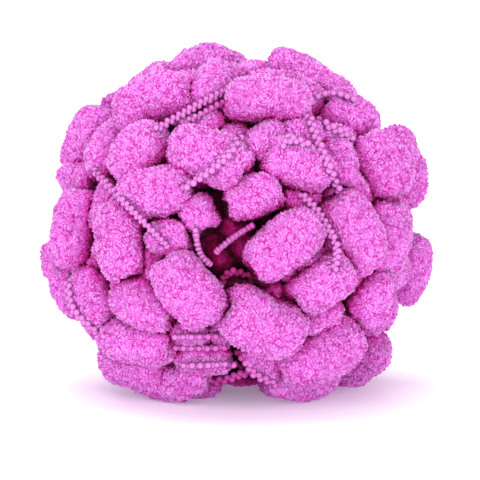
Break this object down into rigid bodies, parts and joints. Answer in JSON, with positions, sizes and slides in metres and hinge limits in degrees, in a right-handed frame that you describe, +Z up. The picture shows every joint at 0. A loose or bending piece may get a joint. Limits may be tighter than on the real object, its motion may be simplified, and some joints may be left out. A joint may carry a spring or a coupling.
{
  "type": "pompom yarn ball",
  "caption": "Wound ball of pompom yarn: soft barrel-shaped pile tufts joined by a thin two-ply thread, with a small flat foot.",
  "frame": {"origin": "middle of the outline's box on the surface the ball rests on", "axes": "+Z up, +X to the right of the ball seen from its front, the front faces -Y"},
  "size_m": [0.1508, 0.1468, 0.1299],
  "materials": {
    "chenille_pile": "dense sheared pile, matte",
    "twisted_thread": "two-ply twist, soft satin"
  },
  "bodies": {
    "root": {"yarn_ball": "chenille_pile"}
  },
  "joints": []
}
